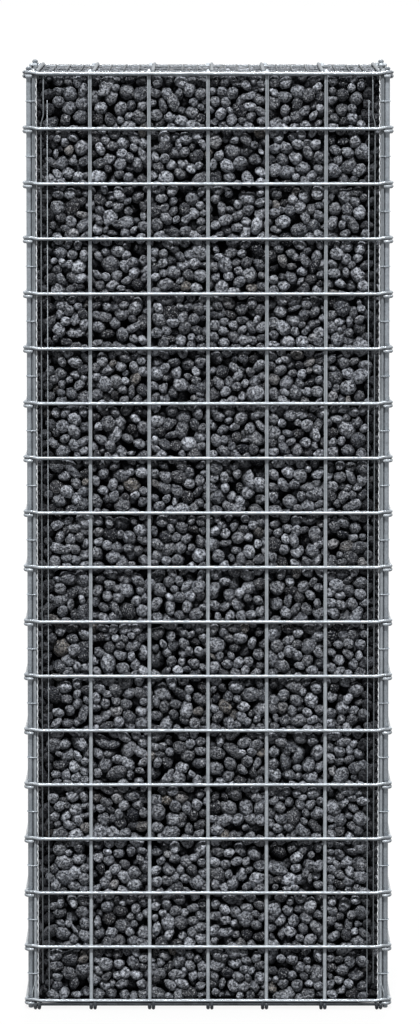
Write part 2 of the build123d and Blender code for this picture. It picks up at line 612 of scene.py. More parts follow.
def pebble_shape(fine: bool) -> Surface:
    """Works out a round body of 60 or of 20 like triangles.

    Its points are the 12 corners of an icosahedron and, when fine, the middles of its 20 faces,
    all pushed out to a sphere. Each edge of the icosahedron then carries two of the triangles,
    from one of its ends to the middles of the two faces that it joins.

    Args:
        fine: whether the body has 60 triangles.

    Returns:
        The body, with its points at distance one from its middle.
    """
    golden = (1.0 + math.sqrt(5.0)) / 2.0
    corners = unit(np.array([[x, y, 0.0] for x in ENDS for y in (-golden, golden)]))
    corners = np.concatenate([np.roll(corners, turn, axis=1) for turn in range(3)])
    near = corners @ corners.T > 0.4
    count = len(corners)
    faces = [(a, b, c) for a in range(count) for b in range(a + 1, count)
             for c in range(b + 1, count) if near[a, b] and near[b, c] and near[a, c]]
    middles = unit(np.array([corners[list(face)].sum(axis=0) for face in faces]))
    split = [[a] + [count + n for n, face in enumerate(faces) if a in face and b in face]
             for a in range(count) for b in range(count) if a != b and near[a, b]]
    points = np.concatenate([corners, middles]) if fine else corners
    triangles = np.array(split if fine else faces)
    spots = points[triangles]
    normal = np.cross(spots[:, 1] - spots[:, 0], spots[:, 2] - spots[:, 0])
    inward = np.einsum("ij,ij->i", normal, spots.sum(axis=1)) < 0
    triangles[inward] = triangles[inward][:, [0, 2, 1]]
    return Surface(points, triangles=triangles)


@dataclass(frozen=True)
class Cage:
    """Sizes and places of the wires, worked out from the rods of the frame, in metres."""

    columns: int = 6
    rows: int = 17
    bays: int = 3
    column_pitch: float = 0.1
    bay_pitch: float = 0.1
    wire: float = 0.006
    long_upright: float = 0.0066
    fine_wire: float = 0.0026
    tie_wire: float = 0.0018
    corner_rod: float = 0.009
    edge_rod: float = 0.005
    corner_play: float = 0.0005
    edge_play: float = 0.0006
    loop_gap: float = 0.0003
    wire_gap: float = 0.0005
    set_back: float = 0.0005
    head_drop: float = 0.002
    eyelet_lift: float = 0.0022

    @staticmethod
    def middle(node: str) -> Array:
        """Gives the middle of a CAD node's box."""
        low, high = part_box(node)
        return (np.array(low) + np.array(high)) / 2.0

    @property
    def corner(self) -> Array:
        """Middle of the right-hand rear corner rod."""
        return self.middle("corner_rod_back_right")

    @property
    def foot_rod(self) -> Array:
        """Middle of the rear foot rod."""
        return self.middle("foot_rod_back")

    @property
    def head_rod(self) -> Array:
        """Middle of the rear head rod."""
        return self.middle("head_rod_back")

    @property
    def corner_reach(self) -> float:
        """Distance from a corner rod's middle to that of a wire bent round it."""
        return self.corner_rod / 2 + self.corner_play + self.wire / 2

    @property
    def edge_reach(self) -> float:
        """Distance from an edge rod's middle to that of a wire bent round it."""
        return self.edge_rod / 2 + self.edge_play + self.wire / 2

    @property
    def row_z(self) -> Array:
        """Heights of the level wires of the front and back panels."""
        first = self.foot_rod[2] + self.edge_rod / 2 + self.wire_gap + self.wire / 2
        return np.linspace(first, self.head_rod[2] + self.head_drop, self.rows + 1)

    @property
    def side_row_z(self) -> Array:
        """Heights of the level wires of the side panels, just below the others."""
        return self.row_z - self.wire - self.loop_gap

    @property
    def front_wire_y(self) -> float:
        """Distance of the front panel's level wires from the middle of the wall."""
        return float(self.corner[1]) + self.corner_reach

    @property
    def side_wire_x(self) -> float:
        """Distance of the side panels' level wires from the middle of the wall."""
        return float(self.corner[0]) + self.corner_reach

    @property
    def upright_x(self) -> Array:
        """Places of the front panel's uprights along the wall."""
        inner = (np.arange(1, self.columns) - self.columns / 2) * self.column_pitch
        end = float(self.corner[0]) - self.corner_reach
        return np.concatenate([[-end], inner, [end]])

    @property
    def upright_y(self) -> Array:
        """Places of the side panels' uprights across the wall."""
        inner = (np.arange(1, self.bays) - self.bays / 2) * self.bay_pitch
        end = (float(self.corner[1]) - self.corner_rod / 2 - self.corner_play - self.wire * 1.5
               - self.wire_gap)
        return np.concatenate([[-end], inner, [end]])

    def beside(self, places: Array) -> Array:
        """Shifts places by one wire towards the middle of the wall."""
        step = self.wire + self.wire_gap
        return np.where(places <= 1e-6, places + step, places - step)


@dataclass(frozen=True)
class WallPanel:
    """One welded wall panel: level wires outside, uprights inside, eyelets at every end.

    Attributes:
        name: the CAD node that the panel stands for.
        inward: the direction from the panel to the middle of the wall.
        cage: the sizes and places of the wires.
        weld: the weld beads' half sizes along, into and up the panel, in wires.
        end_darkening: how much darker the end uprights are.
        eyelet_shade: how much painted shade darkens the eyelets.
        underside_shade: how much painted shade darkens the undersides of the level wires.
        head_inside_shade: how much painted shade darkens the inner side of the head wires.
        foot_wire_shade: how much painted shade darkens the foot.
        level_reach: how far behind its middle a level wire is told from the uprights, in wires.
        underside_shade_start: how much painted shade darkens the middle of a level wire's height,
            before underside_shade.
        end_reach: half width of an end upright, in uprights.
        foot_drop: how far below the middle of the lowest wire the foot begins, in wires.
    """

    name: str
    inward: tuple[float, float, float]
    cage: Cage
    weld: tuple[float, float, float] = (0.62, 0.3, 0.58)
    end_darkening: float = 0.4
    eyelet_shade: float = 0.4
    underside_shade: float = 0.75
    head_inside_shade: float = 1.0
    foot_wire_shade: float = 0.9
    level_reach: float = 0.46
    underside_shade_start: float = 0.15
    end_reach: float = 0.52
    foot_drop: float = 0.1

    @property
    def is_side(self) -> bool:
        """Says whether this is one of the two short panels."""
        return self.inward[0] != 0.0

    @property
    def along(self) -> Array:
        """The direction of the level wires."""
        return np.cross(np.array(self.inward), (0.0, 0.0, 1.0))

    @property
    def wire_place(self) -> float:
        """Distance of the level wires from the middle of the wall."""
        return self.cage.side_wire_x if self.is_side else self.cage.front_wire_y

    @property
    def rows(self) -> Array:
        """Heights of the level wires."""
        return self.cage.side_row_z if self.is_side else self.cage.row_z

    @property
    def places(self) -> Array:
        """Places of the uprights along the panel."""
        return self.cage.upright_y if self.is_side else self.cage.upright_x

    def spot(self, depth: float, place: float, height: float) -> Array:
        """Gives the point at a distance out of the middle, along the panel and up."""
        return self.along * place - np.array(self.inward) * depth + (0.0, 0.0, height)

    def level_wires(self) -> Surface:
        """Makes the level wires with their eyelets round the corner rods."""
        cage = self.cage
        rod = float(cage.corner[1] if self.is_side else cage.corner[0])
        turn = Turn.OPEN if self.is_side else Turn.CLOSED
        ends = [Eyelet(rod * end, end, 1, cage.corner_reach, turn) for end in ENDS]
        wire = bent_wire(*ends, cage.wire / 2, cage.eyelet_lift)
        return repeated(wire, basis(self.along, self.inward),
                        [self.spot(self.wire_place, 0.0, height) for height in self.rows])

    def uprights(self) -> Surface:
        """Makes the uprights with their eyelets round the foot and head rods."""
        cage = self.cage
        if self.is_side:
            thickness, turn, foot_side = cage.wire, Turn.OPEN, 1
            foot_z, head_z = (cage.middle(rod)[2] for rod in ("foot_rod_left", "head_rod_left"))
        else:
            thickness, turn, foot_side = cage.long_upright, Turn.CLOSED, -1
            foot_z, head_z = cage.foot_rod[2], cage.head_rod[2]
        reach = cage.edge_reach - (thickness - cage.wire) / 2
        wire = bent_wire(Eyelet(foot_z, -1, foot_side, reach, turn),
                         Eyelet(head_z, 1, 1, reach, turn), thickness / 2)
        return repeated(wire, basis((0, 0, 1), self.inward),
                        [self.spot(self.wire_place - cage.wire, place, 0.0)
                         for place in self.places])

    def welds(self) -> Surface:
        """Makes the flattened beads of metal where the wires are welded together."""
        bead = pebble_shape(True)
        bead.points = bead.points * (self.cage.wire * np.array(self.weld))
        depth = self.wire_place - self.cage.wire / 2
        return repeated(bead, basis(self.along, self.inward),
                        [self.spot(depth, place, height)
                         for place in self.places for height in self.rows])

    def painted_shade_and_darker_ends(self, points: Array) -> Array:
        """Works out how far the zinc is darkened at each point, mostly as painted shade.

        Painted shade darkens the foot, the inside of the head, the eyelets at both ends and the
        underside of each level wire, where the share grows with the depth below its middle.
        The uprights at both ends are drawn darker too.

        Args:
            points: points on the wires.

        Returns:
            A value from 0 to 1 for each point.
        """
        wire, rows = self.cage.wire, self.rows
        span, height = np.abs(points @ self.along), points[:, 2]
        depth = np.abs(points @ np.array(self.inward))
        level = depth > self.wire_place - wire * self.level_reach
        row = rows[np.abs(height[:, None] - rows[None]).argmin(axis=1)]
        under = np.clip((row - height) / (wire / 2) + self.underside_shade_start, 0.0, 1.0)
        width = self.cage.long_upright * self.end_reach
        end = (np.abs(span - self.places[-1]) < width) & ~level
        eyelet = level & (span > self.places[-1] + width)
        head = level & (depth < self.wire_place) & (height > rows[-1] - wire / 2)
        foot = height < rows[0] - wire * self.foot_drop
        # Painted shade on the eyelets, under the level wires, inside the head and at the foot; the
        # end uprights are only drawn darker.
        return np.maximum.reduce([
            end * self.end_darkening, eyelet * self.eyelet_shade, level * under * self.underside_shade,
            head * self.head_inside_shade, foot * self.foot_wire_shade])

    def build(self, finish: bpy.types.Material) -> None:
        """Builds the panel and lets it stand for its CAD node.

        Args:
            finish: the finish of its wires.
        """
        surface = Surface.joined([self.level_wires(), self.uprights(), self.welds()])
        surface.toned("darkened", self.painted_shade_and_darker_ends(surface.points))
        piece = surface.piece(self.name + "_mesh", finish, "galvanised_wire")
        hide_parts(self.name)


@dataclass(frozen=True)
class FlatPanel:
    """The base or the lid: wires across the wall and wires along it, welded where they cross.

    Attributes:
        name: the CAD node that the panel stands for.
        cage: the sizes and places of the wires.
        up: 1 for the base, whose rods lie above its wires, and -1 for the lid.
        fine_places: where the fine wires of the lid stand between two bars, as shares.
        dull_along: how dull the wires along the wall are.
        dull_fine: how dull the fine wires are.
    """

    name: str
    cage: Cage
    up: int
    fine_places: tuple[float, ...] = (0.25, 0.5, 0.75)
    dull_along: float = 0.5
    dull_fine: float = 0.75

    def deep_z(self) -> float:
        """Height of the wires that run across the wall."""
        rod = self.cage.foot_rod if self.up > 0 else self.cage.head_rod
        return float(rod[2]) - self.up * self.cage.edge_reach

    def wire(self, rod: float, turn: Turn) -> Surface:
        """Makes one wire with an eyelet round the rod at each of its ends."""
        cage = self.cage
        return bent_wire(*(Eyelet(rod * end, end, self.up, cage.edge_reach, turn)
                           for end in ENDS), cage.wire / 2)

    def deep_wires(self) -> Surface:
        """Makes the wires across the wall."""
        cage = self.cage
        if self.up > 0:
            wire = self.wire(float(cage.foot_rod[1]), Turn.OPEN)
        else:
            wire = self.wire(float(cage.head_rod[1]) - cage.set_back / 2, Turn.CLOSED)
        return repeated(wire, basis((0, 1, 0), (0, 0, 1)),
                        [(x, 0.0, self.deep_z()) for x in cage.beside(cage.upright_x)])

    def along_wires(self) -> Surface:
        """Makes the wires along the wall."""
        cage = self.cage
        rod = float(cage.middle("foot_rod_right")[0]) - cage.set_back / 2
        height = self.deep_z() + self.up * cage.wire
        return repeated(self.wire(rod, Turn.CLOSED), basis((1, 0, 0), (0, 0, 1)),
                        [(0.0, y, height) for y in cage.beside(cage.upright_y)])

    def fine_wires(self) -> Surface:
        """Makes the thin wires between every two cross bars of the lid."""
        cage = self.cage
        bars = cage.beside(cage.upright_x)
        places = (bars[:-1, None] + np.diff(bars)[:, None] * self.fine_places).ravel()
        height = self.deep_z() + self.up * (cage.wire - cage.fine_wire) / 2
        length = 2.0 * (float(cage.head_rod[1]) - cage.edge_rod / 2)
        wire = straight_wire(length, cage.fine_wire / 2, 8)
        return repeated(wire, basis((0, 1, 0), (0, 0, 1)), [(x, 0.0, height) for x in places])

    def build(self, finish: bpy.types.Material) -> None:
        """Builds the panel and lets it stand for its CAD node.

        Args:
            finish: the finish of its wires.
        """
        parts = [self.deep_wires().toned("darkened", 0.0),
                 self.along_wires().toned("darkened", self.dull_along)]
        if self.up < 0:
            parts.append(self.fine_wires().toned("darkened", self.dull_fine))
        piece = Surface.joined(parts).piece(self.name + "_mesh", finish, "galvanised_wire")
        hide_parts(self.name)


@dataclass(frozen=True)
class Rods:
    """The corner rods with their upset heads, and the rods along the top and bottom edges.

    Attributes:
        cage: the sizes and places of the wires.
        head: radius of an upset head.
        head_height: height of an upset head.
        head_dull: how dull an upset head is.
    """

    cage: Cage
    head: float = 0.0052
    head_height: float = 0.005
    head_dull: float = 0.6

    def corner_rod(self, node: str, finish: bpy.types.Material) -> None:
        """Turns one corner rod as a profile about its own axis.

        Going up, the radius is that of the rod, then that of the head, rounded at its top and
        bottom edges.

        Args:
            node: the CAD node that the rod stands for.
            finish: its finish.
        """
        sides = 16
        low, high = (np.array(corner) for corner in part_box(node))
        middle = (low + high) / 2.0
        rod, head = self.cage.corner_rod / 2, self.head
        foot, top = low[2], high[2]
        seat = top - self.head_height
        rings = np.array([
            [foot, rod * 0.8], [foot + 0.001, rod], [seat - 0.0006, rod], [seat, head * 0.92],
            [seat + 0.0007, head], [seat + 0.0022, head * 0.96], [top - 0.0014, head * 0.78],
            [top - 0.0004, head * 0.45]])
        turn = np.arange(sides) * FULL_TURN / sides
        height, radius = rings[:, :1], rings[:, 1:]
        points = np.stack([
            middle[0] + radius * np.cos(turn), middle[1] + radius * np.sin(turn),
            np.repeat(height, sides, axis=1)], axis=-1).reshape(-1, 3)
        poles = np.array([[middle[0], middle[1], foot], [middle[0], middle[1], top]])
        surface = Surface(np.concatenate([points, poles]), ring_quads(len(rings), sides),
                          end_caps(len(points), sides))
        just_below = seat - 0.0001
        surface.toned("darkened", self.head_dull * (surface.points[:, 2] > just_below))
        piece = surface.piece(node + "_round", finish, "galvanised_rod")
        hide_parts(node)

    def edge_rod(self, node: str, finish: bpy.types.Material) -> None:
        """Makes one straight edge rod in the place of its CAD node.

        Args:
            node: the CAD node that the rod stands for.
            finish: its finish.
        """
        low, high = (np.array(corner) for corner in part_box(node))
        size = high - low
        is_long = size[0] > size[1]
        axes = basis((1, 0, 0), (0, 1, 0)) if is_long else basis((0, 1, 0), (0, 0, 1))
        worn_ends = self.cage.edge_rod * WORN_LENGTH
        rod = straight_wire(float(max(size)) - worn_ends, self.cage.edge_rod / 2, 12)
        surface = repeated(rod, axes, [(low + high) / 2.0])
        piece = surface.piece(node + "_round", finish, "galvanised_rod")
        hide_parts(node)

    def build(self, finish: bpy.types.Material, foot_finish: bpy.types.Material) -> None:
        """Builds every rod.

        Args:
            finish: the finish of the corner rods and of those at the head.
            foot_finish: the finish of the rods at the foot.
        """
        for node in sorted(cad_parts):
            if node.startswith("corner_rod"):
                self.corner_rod(node, finish)
            elif "_rod_" in node:
                self.edge_rod(node, foot_finish if node.startswith("foot") else finish)


@dataclass(frozen=True)
class EdgeWires:
    """The thin upright wires inside each end of a long panel, and the ties of its corners.

    Attributes:
        cage: the sizes and places of the wires.
        side: -1 for the front panel, 1 for the back one.
        bright: distance of the bright, finer wire from the middle of the wall.
        darkened: distance of the darker wire of duller zinc, and so for crimped, beside the end
            upright.
        dull_span: how far its ends lie inside the lowest and highest rows.
        dull_share: how dull it is.
        bright_span: how far its ends lie inside the lowest and highest rows.
        jog: how far the dull wire steps aside, between the heights of jog_span below the top.
        crimp: swing of the crimped wire along the wall, and crimp_deep across it.
        crimp_pitch: height of one of its waves, which is crimp_steps points.
        wire_sides: number of points round a thin wire, and tie_steps along a tie.
        tails: how far each loose end of the lowest ties reaches aside and up.
        tail_swing: the angle that a loose end's curve goes through.
        tail_proud: how far its middle stands before the back of the level wires, in wires.
    """

    cage: Cage
    side: int
    bright: float = 0.2722
    bright_wire: float = 0.0015
    bright_span: Span = (0.011, 0.045)
    darkened: float = 0.2828
    dull_wire: float = 0.0022
    dull_span: Span = (0.03, 0.002)
    dull_share: float = 0.6
    jog: float = 0.004
    jog_span: Span = (0.088, 0.068)
    crimped: float = 0.2909
    crimped_wire: float = 0.0020
    crimp: float = 0.0004
    crimp_deep: float = 0.0008
    crimp_pitch: float = 0.0125
    crimp_steps: int = 6
    wire_sides: int = 6
    tie_steps: int = 28
    tails: tuple[Span, ...] = ((-0.004, 0.026), (0.006, 0.034))
    tail_swing: float = 1.9
    tail_proud: float = 0.6

    def thin_wire(self, heights: Array, offsets: Array, thickness: float,
                  rise: Array | None = None) -> Surface:
        """Makes one thin upright wire.

        Args:
            heights: heights of the points that it goes through.
            offsets: how far each point stands towards the middle of the wall.
            thickness: the wire's diameter.
            rise: how far each point stands out of the plane of the others, if any does.

        Returns:
            The wire as a closed tube.
        """
        path = np.stack([heights, offsets], axis=1)
        heading = unit(np.gradient(path, axis=0))
        return tube(path, heading, thickness / 2, self.wire_sides, rise)

    def at_both_ends(self, wire: Surface, place: float, inset: float,
                     share: float = 0.0) -> list[Surface]:
        """Sets a thin wire at both ends of the panel.

        Args:
            wire: the wire.
            place: its distance from the middle of the wall.
            inset: how far it stands behind the back of the level wires.
            share: how dull it is.

        Returns:
            The two wires.
        """
        depth = self.side * (self.cage.front_wire_y - self.cage.wire / 2 - inset)
        return [repeated(wire, basis((0, 0, 1), (-end, 0, 0)), [(end * place, depth, 0.0)])
                .toned("darkened", share) for end in ENDS]

    def stays(self) -> list[Surface]:
        """Makes the bright and the dull wires.

        The dull wire steps inwards by its jog within the top row, as half a cosine wave.
        """
        low, high = float(self.cage.row_z[0]), float(self.cage.row_z[-1])
        heights = np.array([low + self.bright_span[0], high - self.bright_span[1]])
        bright = self.thin_wire(heights, np.zeros(2), self.bright_wire)
        start, end = high - self.jog_span[0], high - self.jog_span[1]
        heights = np.concatenate([[low + self.dull_span[0]], np.linspace(start, end, 9),
                                  [high - self.dull_span[1]]])
        share = np.clip((heights - start) / (end - start), 0.0, 1.0)
        offsets = self.jog * (0.5 - 0.5 * np.cos(share * math.pi))
        darkened = self.thin_wire(heights, offsets, self.dull_wire)
        return (self.at_both_ends(bright, self.bright, self.bright_wire / 2)
                + self.at_both_ends(darkened, self.darkened, self.dull_wire / 2, self.dull_share))

    def crimped_wires(self) -> list[Surface]:
        """Makes the crimped wires beside the end uprights.

        Going up, the wire follows a sine wave of its pitch along the wall and a cosine wave of
        the same pitch across it.
        """
        low, high = float(self.cage.row_z[0]), float(self.cage.row_z[-1])
        heights = np.arange(low, high, self.crimp_pitch / self.crimp_steps)
        turn = heights * FULL_TURN / self.crimp_pitch
        wire = self.thin_wire(heights, self.crimp * np.sin(turn), self.crimped_wire,
                              self.crimp_deep * np.cos(turn))
        return self.at_both_ends(wire, self.crimped, self.crimped_wire / 2 + self.crimp_deep)

    def loose_ends(self) -> list[Surface]:
        """Makes the loose ends of the lowest ties, which slant out and hang by the corner rods.

        Going down, a loose end moves aside as the square of a sine of its angle.
        """
        cage = self.cage
        share = np.linspace(0.0, 1.0, 9)
        foot = float(cage.row_z[0]) + cage.wire / 2
        wires = [self.thin_wire(foot + rise * (1.0 - share),
                                -reach * np.sin(share * self.tail_swing) ** 2, cage.tie_wire)
                 for reach, rise in self.tails]
        inset = -cage.tie_wire * self.tail_proud
        return sum((self.at_both_ends(wire, cage.upright_x[-1], inset) for wire in wires), [])

    def ties(self) -> Surface:
        """Makes the thin wires bound round each corner rod and end upright, between the rows.

        A tie's path is the outline round two circles: for each direction, the farther of the two
        points of the circles in that direction.
        """
        cage, steps = self.cage, self.tie_steps
        turn = np.arange(steps) * FULL_TURN / steps
        facing = np.stack([np.cos(turn), np.sin(turn)], axis=1)
        heading = np.stack([-np.sin(turn), np.cos(turn)], axis=1)
        heights = (cage.row_z[1:] + cage.row_z[:-1]) / 2.0
        circles = ((cage.corner[:2], cage.corner_rod),
                   (np.array([cage.upright_x[-1], cage.front_wire_y - cage.wire]),
                    cage.long_upright))
        rings = []
        for end in ENDS:
            spots = np.stack([middle * (end, self.side) + facing * (size + cage.tie_wire) / 2
                              for middle, size in circles])
            farther = (spots * facing).sum(axis=2).argmax(axis=0)
            path = spots[farther, np.arange(steps)]
            ring = tube(path, heading, cage.tie_wire / 2, self.wire_sides, closed=True)
            rings.append(repeated(ring, np.eye(3), [(0.0, 0.0, z) for z in heights]))
        return Surface.joined(rings)

    def build(self, bright: bpy.types.Material, plain: bpy.types.Material,
              shiny: bpy.types.Material) -> None:
        """Builds the wires and the ties of one long panel.

        Args:
            bright: the finish of the stays.
            plain: the finish of the ties.
            shiny: the finish of the crimped wires.
        """
        name = "front" if self.side < 0 else "back"
        for part, wires, finish in (
                ("stays", self.stays() + self.loose_ends(), bright),
                ("crimped_wires", self.crimped_wires(), shiny),
                ("corner_ties", [self.ties()], plain)):
            Surface.joined(wires).piece(f"{name}_{part}", finish, "galvanised_wire")


# Stones


@dataclass(frozen=True)
class PebbleForms:
    """Shapes and tones of the single stones.

    Attributes:
        stretch: how far a stone's three widths vary, as a share.
        lumps: number of broad lumps on a stone, and lump_height how far their heights vary.
        roughness: how far single points vary in height.
        swell: how much larger a stone is drawn than it was packed.
        pale: middle and spread of the paleness.
        warm_stones: share of brown stones, with a warmth in the range warm, the others in cool.
        corner_shade: how far painted shade darkens the stones in the upright corners, fading over
            corner_fade from corner_start of their radii away from the empty corner.
        inner_shade: how far painted shade darkens the inmost points, between the depths of
            shade_depths.
        shade_below_lid: share of the paleness left just below the lid, where it is cut as painted
            shade.
    """

    stretch: float = 0.18
    lumps: int = 4
    lump_height: float = 0.30
    roughness: float = 0.06
    swell: float = 1.04
    pale: Span = (0.48, 0.25)
    warm_stones: float = 0.03
    warm: Span = (0.3, 0.9)
    cool: Span = (0.0, 0.12)
    corner_shade: float = 0.85
    corner_fade: float = 0.009
    corner_start: float = 1.4
    inner_shade: float = 0.9
    shade_depths: Span = (0.003, 0.014)
    shade_below_lid: float = 0.6

    @staticmethod
    def spins(random: np.random.Generator, count: int) -> Array:
        """Draws random turns, from unit quaternions.

        Args:
            random: source of random numbers.
            count: number of turns.

        Returns:
            For each turn, its three by three matrix.
        """
        w, x, y, z = unit(random.normal(size=(count, 4))).T
        return np.stack([
            1 - 2 * (y * y + z * z), 2 * (x * y - z * w), 2 * (x * z + y * w),
            2 * (x * y + z * w), 1 - 2 * (x * x + z * z), 2 * (y * z - x * w),
            2 * (x * z - y * w), 2 * (y * z + x * w), 1 - 2 * (x * x + y * y)],
            axis=1).reshape(count, 3, 3)

    def bodies(self, body: Array, count: int, random: np.random.Generator) -> Array:
        """Gives each stone its own rounded, lumpy shape.

        A unit body is stretched along three axes, then each of its points is moved out or in by
        broad lumps, each the square of the cosine to a random direction, and the whole is turned
        at random.

        Args:
            body: the points of the unit body.
            count: number of stones.
            random: source of random numbers.

        Returns:
            For each stone, its points round its own middle, for a radius of one.
        """
        stretch = 1.0 + random.normal(0.0, self.stretch, (count, 1, 3))
        stretch /= np.prod(stretch, axis=2, keepdims=True) ** (1.0 / 3.0)
        lumps = unit(random.normal(size=(count, self.lumps, 3)))
        height = random.normal(0.0, self.lump_height, (count, self.lumps))
        cosine = np.einsum("pi,nki->npk", body, lumps)
        swell = 1.0 + np.einsum("npk,nk->np", np.maximum(cosine, 0.0) ** 2, height)
        swell += random.normal(0.0, self.roughness, swell.shape)
        shape = body[None] * swell[:, :, None] * stretch
        return np.einsum("npi,nij->npj", shape, self.spins(random, count))

    def colours(self, count: int, random: np.random.Generator) -> tuple[Array, Array]:
        """Draws a paleness and a warmth for each stone.

        Args:
            count: number of stones.
            random: source of random numbers.

        Returns:
            The palenesses and the warmths, from 0 to 1.
        """
        pale = np.clip(random.normal(*self.pale, count), 0.0, 1.0)
        is_warm = random.random(count) < self.warm_stones
        return pale, np.where(is_warm, random.uniform(*self.warm, count),
                              random.uniform(*self.cool, count))


@dataclass(frozen=True)
class StoneFill:
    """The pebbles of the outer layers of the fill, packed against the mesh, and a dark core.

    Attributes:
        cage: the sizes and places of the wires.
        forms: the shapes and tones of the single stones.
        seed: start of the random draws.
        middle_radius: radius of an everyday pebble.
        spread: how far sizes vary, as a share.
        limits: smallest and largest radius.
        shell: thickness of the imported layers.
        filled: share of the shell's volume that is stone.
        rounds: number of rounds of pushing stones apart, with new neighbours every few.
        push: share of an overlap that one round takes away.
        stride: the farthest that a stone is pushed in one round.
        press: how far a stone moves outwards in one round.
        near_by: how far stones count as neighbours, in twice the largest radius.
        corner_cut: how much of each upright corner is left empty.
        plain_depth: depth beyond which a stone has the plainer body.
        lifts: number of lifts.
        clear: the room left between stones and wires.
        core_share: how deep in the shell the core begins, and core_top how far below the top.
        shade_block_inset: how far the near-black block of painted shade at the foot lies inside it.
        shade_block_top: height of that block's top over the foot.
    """

    cage: Cage
    forms: PebbleForms = PebbleForms()
    seed: int = 20
    middle_radius: float = 0.0095
    spread: float = 0.21
    limits: Span = (0.006, 0.0155)
    shell: float = 0.032
    filled: float = 0.68
    rounds: int = 110
    refresh: int = 6
    push: float = 0.42
    stride: float = 0.004
    press: float = 0.0002
    near_by: float = 1.15
    corner_cut: float = 0.020
    plain_depth: float = 0.021
    lifts: int = 6
    clear: float = 0.0002
    core_share: float = 0.85
    core_top: float = 0.009
    shade_block_inset: tuple[float, float, float] = (0.004, 0.0065, 0.005)
    shade_block_top: float = 0.0095

    @cached_property
    def box(self) -> tuple[Array, Array]:
        """The lowest and highest corners that stones reach.

        At the front, the back and the top they swell into the meshes, up to the outer wires.
        """
        cage = self.cage
        low = np.array(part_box("stone_lift_1")[0])
        high = np.array(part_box(f"stone_lift_{self.lifts}")[1])
        high[1] = cage.front_wire_y - cage.wire / 2 - self.clear
        high[2] = cage.head_rod[2] + cage.edge_reach - cage.wire / 2 - self.clear
        low[1] = -high[1]
        return low, high

    @cached_property
    def bars(self) -> list[tuple[tuple[int, int], Array, float]]:
        """The straight bars that the stones lie against.

        For each set of bars: the two directions across them, their places there, and their
        radius.
        """
        cage = self.cage
        depth = cage.front_wire_y - cage.wire
        uprights = np.array([(x, side * depth) for side in ENDS for x in cage.upright_x])
        lid_z = cage.head_rod[2] + cage.edge_reach - cage.wire
        along = np.array([(y, lid_z) for y in cage.beside(cage.upright_y)])
        rods = np.array([(side * cage.head_rod[1], cage.head_rod[2]) for side in ENDS])
        return [((0, 1), uprights, cage.long_upright / 2), ((1, 2), along, cage.wire / 2),
                ((1, 2), rods, cage.edge_rod / 2)]

    def depth(self, points: Array) -> Array:
        """Gives each point's distance from the nearest side of the box."""
        low, high = self.box
        return np.minimum(points - low, high - points).min(axis=1)

    def off_bars(self, points: Array, radii: Array) -> Array:
        """Moves stones away from the bars until they only touch them.

        Args:
            points: the middles.
            radii: the radii.

        Returns:
            The moved middles.
        """
        moved = points.copy()
        for plane, bars, thickness in self.bars:
            for bar in bars:
                across = np.abs(moved[:, plane[0]] - bar[0])
                near = np.flatnonzero(across < self.limits[1] + thickness)
                gap = moved[near][:, plane] - bar
                distance = np.linalg.norm(gap, axis=1) + 1e-9
                lack = np.maximum(radii[near] + thickness - distance, 0.0)
                moved[near[:, None], plane] += gap / distance[:, None] * lack[:, None]
        return moved

    def off_corners(self, points: Array, radii: Array) -> Array:
        """Keeps stones out of the four upright corners, which tipping in doesn't fill.

        A stone is moved at right angles to a plane cut across the corner until it only touches it.

        Args:
            points: the middles.
            radii: the radii.

        Returns:
            The moved middles.
        """
        low, high = self.box
        middle, half = (low + high) / 2.0, (high - low) / 2.0
        room = (half[:2] - np.abs(points[:, :2] - middle[:2])).sum(axis=1) - self.corner_cut
        lack = np.maximum(radii * math.sqrt(2.0) - room, 0.0) / 2.0
        moved = points.copy()
        moved[:, :2] -= np.sign(points[:, :2] - middle[:2]) * lack[:, None]
        return moved

    def trimmed(self, points: Array) -> Array:
        """Keeps surface points inside the box, and behind or below bars that they would cut.

        Args:
            points: points on the stones.

        Returns:
            The points, moved where they had to be.
        """
        points = np.clip(points, *self.box)
        for plane, bars, thickness in self.bars:
            for bar in bars:
                across, deep = points[:, plane[0]] - bar[0], points[:, plane[1]]
                side, room = np.sign(bar[1]), np.abs(bar[1]) - thickness - self.clear
                cut = (np.abs(across) < thickness + self.clear) & (deep * side > room)
                points[:, plane[1]] = np.where(cut, side * room, deep)
        return points

    def draw(self, random: np.random.Generator) -> tuple[Array, Array]:
        """Draws the first places and the sizes of the stones.

        Args:
            random: source of random numbers.

        Returns:
            The middles, anywhere in the shell, and the radii.
        """
        low, high = self.box
        size, spare = high - low, 1.2
        volume = np.prod(size) - np.prod(size - 2 * self.shell)
        stone = 4.0 / 3.0 * math.pi * self.middle_radius ** 3 * (1.0 + 3.0 * self.spread ** 2)
        count = int(volume * self.filled / stone)
        share = count / (volume / np.prod(size))
        points = low + random.random((int(share * spare), 3)) * size
        points = points[self.depth(points) < self.shell][:count]
        radii = self.middle_radius * np.exp(random.normal(0.0, self.spread, len(points)))
        return points, np.clip(radii, *self.limits)

